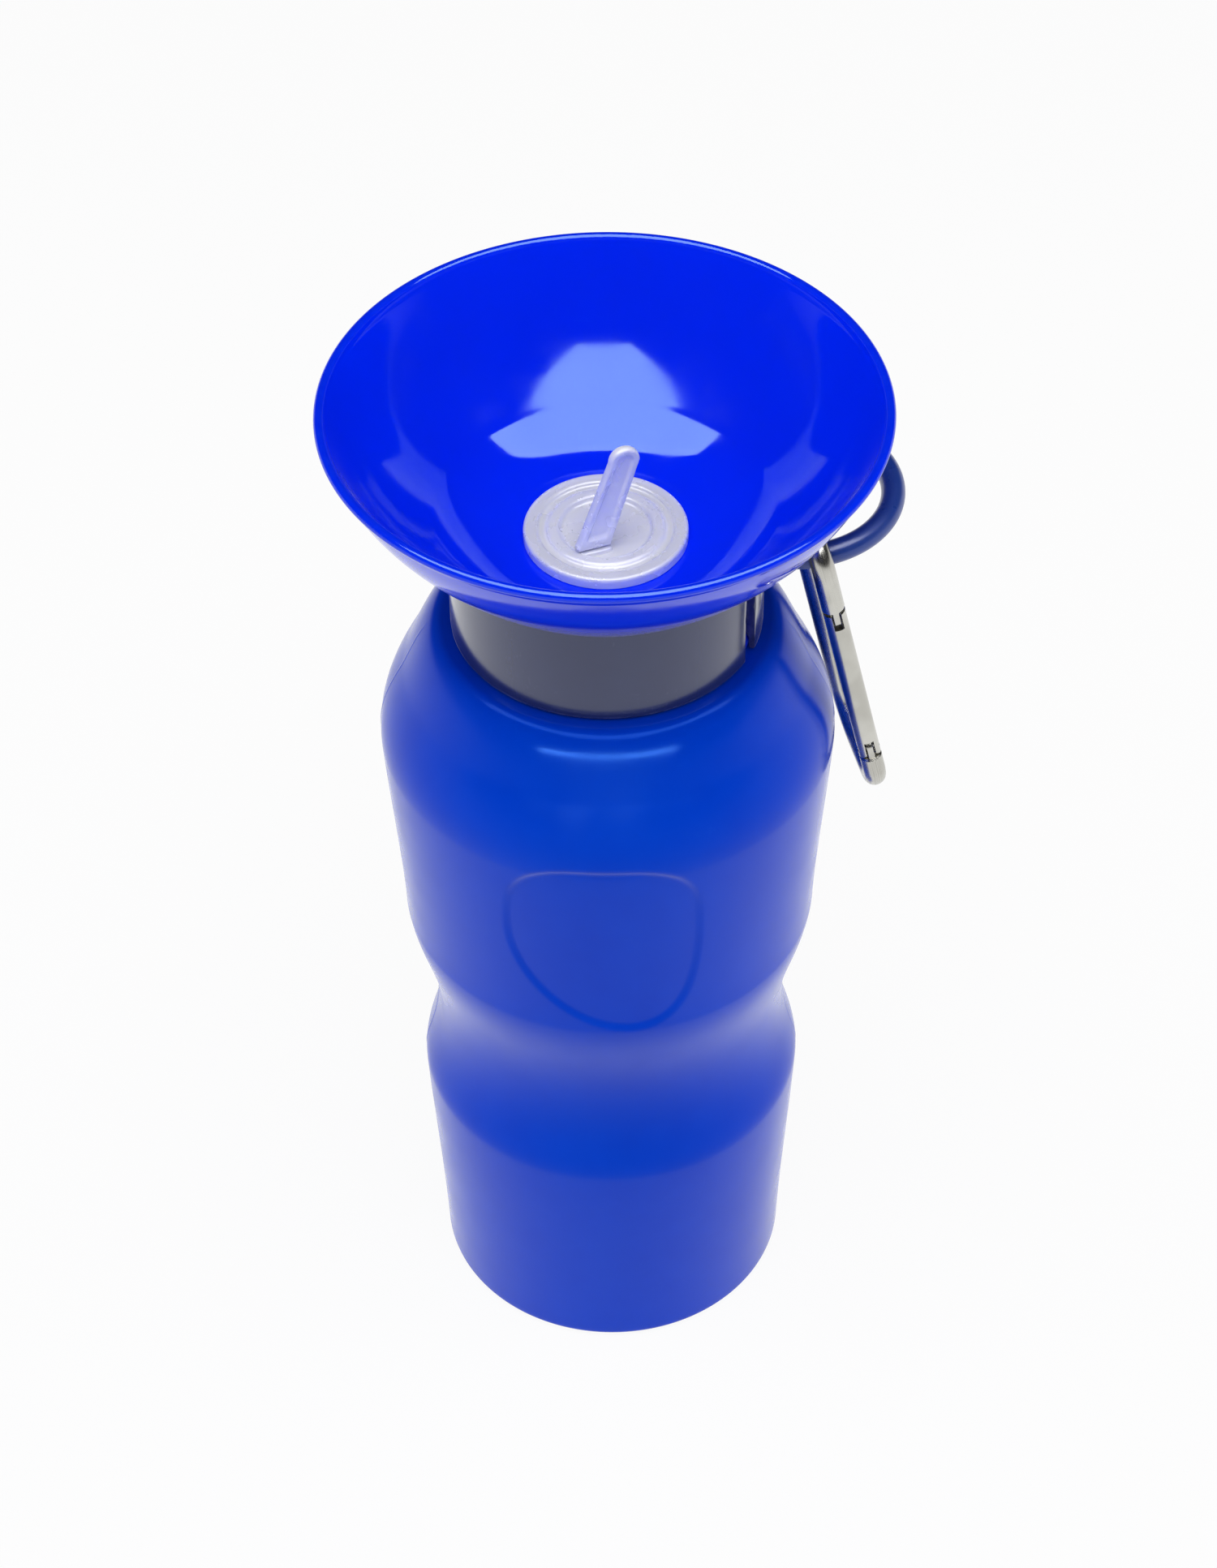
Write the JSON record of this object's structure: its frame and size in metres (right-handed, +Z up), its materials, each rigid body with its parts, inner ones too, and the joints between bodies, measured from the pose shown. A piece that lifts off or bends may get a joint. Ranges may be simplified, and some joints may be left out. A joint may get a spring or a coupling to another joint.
{
  "type": "squeeze travel water bottle with drinking bowl",
  "caption": "Squeeze travel water bottle for a pet, with a screw-on drinking bowl, dip tube, pull plug and swivelling collar with carabiner loop.",
  "frame": {"origin": "centre of the base, on the surface that the bottle stands on", "axes": "+Z up along the bottle's axis, -Y towards the thumb pad, +X towards the carry loop's side"},
  "size_m": [0.1144, 0.11, 0.2361],
  "materials": {
    "bottle_blue": "glossy moulded polyethylene",
    "bowl_blue": "high gloss moulded plastic",
    "silicone_clear": "translucent satin silicone",
    "tube_clear": "translucent extruded plastic",
    "collar_grey": "satin moulded plastic",
    "loop_navy": "satin navy thermoplastic rubber",
    "carabiner_silver": "bead blasted and polished",
    "steel": "bright steel"
  },
  "bodies": {
    "bottle": {"bottle": "bottle_blue"},
    "seal": {"gasket": "silicone_clear"},
    "bowl": {"bowl": "bowl_blue", "dip_tube": "tube_clear"},
    "plug": {"plug": "silicone_clear"},
    "tab": {"pull_tab": "silicone_clear"},
    "collar": {"collar": "collar_grey", "carry_loop": "loop_navy"},
    "carabiner": {"carabiner_body": "carabiner_silver"},
    "gate": {"carabiner_gate": "carabiner_silver", "gate_pin": "steel", "gate_spring": "steel", "gate_plunger": "steel"}
  },
  "joints": [
    {"name": "bowl_lift", "type": "slide", "parent": "bottle", "child": "seal", "axis": [0, 0, 1], "range_m": [0, 0.006]},
    {"name": "bowl_turn", "type": "hinge", "parent": "seal", "child": "bowl", "pos_m": [0, 0, 0.2], "axis": [0, 0, 1], "range_deg": [0, 540]},
    {"name": "collar_swivel", "type": "hinge", "parent": "seal", "child": "collar", "pos_m": [0, 0, 0.195], "axis": [0, 0, 1], "continuous": true},
    {"name": "plug_pull", "type": "slide", "parent": "bowl", "child": "plug", "axis": [0, 0, 1], "range_m": [0, 0.022]},
    {"name": "tab_fold", "type": "hinge", "parent": "plug", "child": "tab", "pos_m": [-0.0024, -0.0065, 0.2071], "axis": [0.9397, 0.342, 0], "range_deg": [-75, 45], "stiffness_Nm_per_rad": 0.003},
    {"name": "carabiner_swing", "type": "hinge", "parent": "collar", "child": "carabiner", "pos_m": [0.04103, -0.0025, 0.2], "axis": [0.9513, 0.2196, 0.2164], "range_deg": [-45, 14]},
    {"name": "gate_open", "type": "hinge", "parent": "carabiner", "child": "gate", "pos_m": [0.05272, -0.00503, 0.15119], "axis": [-0.9513, -0.2196, -0.2164], "range_deg": [0, 24], "stiffness_Nm_per_rad": 0.02, "springref_deg": -11.46}
  ],
  "couplings": [
    {"joint": "bowl_lift", "follows": "bowl_turn", "m_per_rad": 0.00063662}
  ]
}
